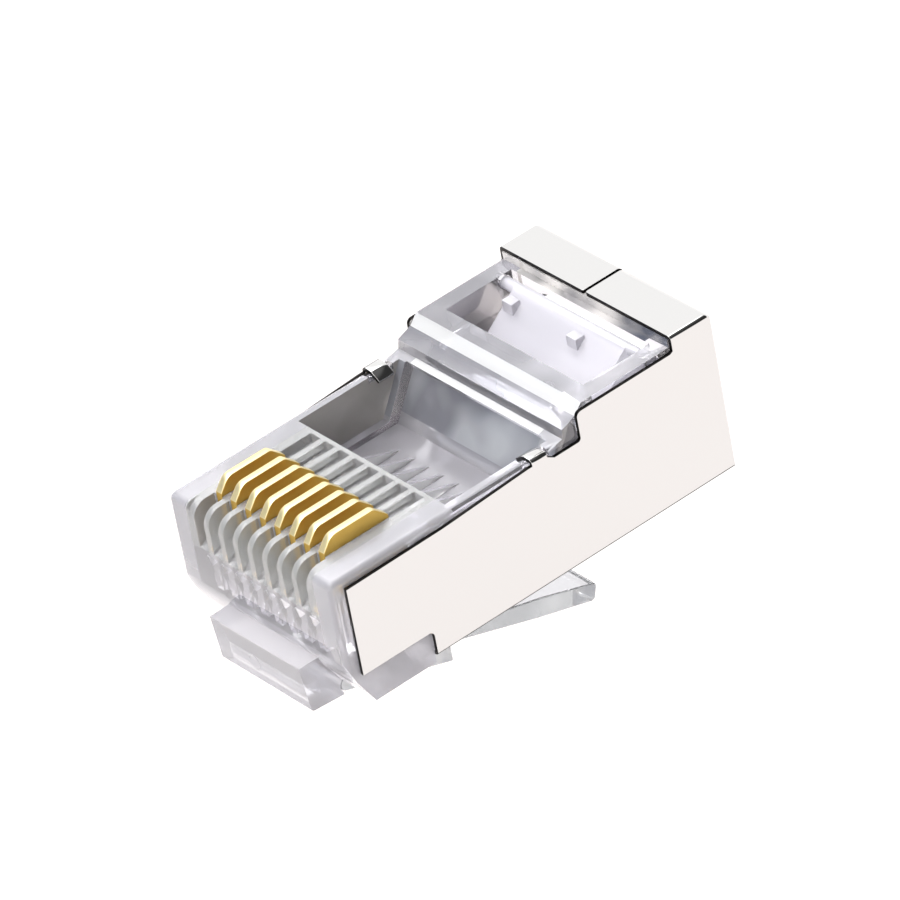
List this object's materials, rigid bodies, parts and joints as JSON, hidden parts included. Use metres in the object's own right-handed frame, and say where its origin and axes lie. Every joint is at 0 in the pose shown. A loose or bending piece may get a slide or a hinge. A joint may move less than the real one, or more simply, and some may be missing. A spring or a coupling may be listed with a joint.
{
  "type": "shielded modular plug",
  "caption": "Clear modular plug with a folded metal shield, a row of gold blades, a sprung latch and a cable clamp that is crimped down.",
  "frame": {"origin": "middle of the flat front face of the nose, halfway across the plug", "axes": "+Y from the nose to the cable end, +Z to the contact side, +X across the plug; the latch is on the -Z side"},
  "size_m": [0.0116, 0.023, 0.0141],
  "materials": {
    "clear_polycarbonate": "clear, gloss moulded polycarbonate",
    "nickel_plated_sheet": "bright nickel plate on folded sheet",
    "gold_plated_contact": "gold plate on a punched phosphor bronze blade"
  },
  "bodies": {
    "plug": {"housing": "clear_polycarbonate", "shield": "nickel_plated_sheet"},
    "latch_arm": {"latch": "clear_polycarbonate"},
    "clamp_bar": {"cable_clamp": "clear_polycarbonate"},
    "blade_1": {"contact_1": "gold_plated_contact"},
    "blade_2": {"contact_2": "gold_plated_contact"},
    "blade_3": {"contact_3": "gold_plated_contact"},
    "blade_4": {"contact_4": "gold_plated_contact"},
    "blade_5": {"contact_5": "gold_plated_contact"},
    "blade_6": {"contact_6": "gold_plated_contact"},
    "blade_7": {"contact_7": "gold_plated_contact"},
    "blade_8": {"contact_8": "gold_plated_contact"}
  },
  "joints": [
    {"name": "latch_press", "type": "hinge", "parent": "plug", "child": "latch_arm", "pos_m": [0, 0.0016, -0.00418], "axis": [1, 0, 0], "range_deg": [0, 15], "stiffness_Nm_per_rad": 0.05},
    {"name": "clamp_crimp", "type": "hinge", "parent": "plug", "child": "clamp_bar", "pos_m": [0, 0.01902, 0.00398], "axis": [1, 0, 0], "range_deg": [0, 20]},
    {"name": "contact_1_crimp", "type": "slide", "parent": "plug", "child": "blade_1", "axis": [0, 0, -1], "range_m": [0, 0.001]},
    {"name": "contact_2_crimp", "type": "slide", "parent": "plug", "child": "blade_2", "axis": [0, 0, -1], "range_m": [0, 0.001]},
    {"name": "contact_3_crimp", "type": "slide", "parent": "plug", "child": "blade_3", "axis": [0, 0, -1], "range_m": [0, 0.001]},
    {"name": "contact_4_crimp", "type": "slide", "parent": "plug", "child": "blade_4", "axis": [0, 0, -1], "range_m": [0, 0.001]},
    {"name": "contact_5_crimp", "type": "slide", "parent": "plug", "child": "blade_5", "axis": [0, 0, -1], "range_m": [0, 0.001]},
    {"name": "contact_6_crimp", "type": "slide", "parent": "plug", "child": "blade_6", "axis": [0, 0, -1], "range_m": [0, 0.001]},
    {"name": "contact_7_crimp", "type": "slide", "parent": "plug", "child": "blade_7", "axis": [0, 0, -1], "range_m": [0, 0.001]},
    {"name": "contact_8_crimp", "type": "slide", "parent": "plug", "child": "blade_8", "axis": [0, 0, -1], "range_m": [0, 0.001]}
  ]
}
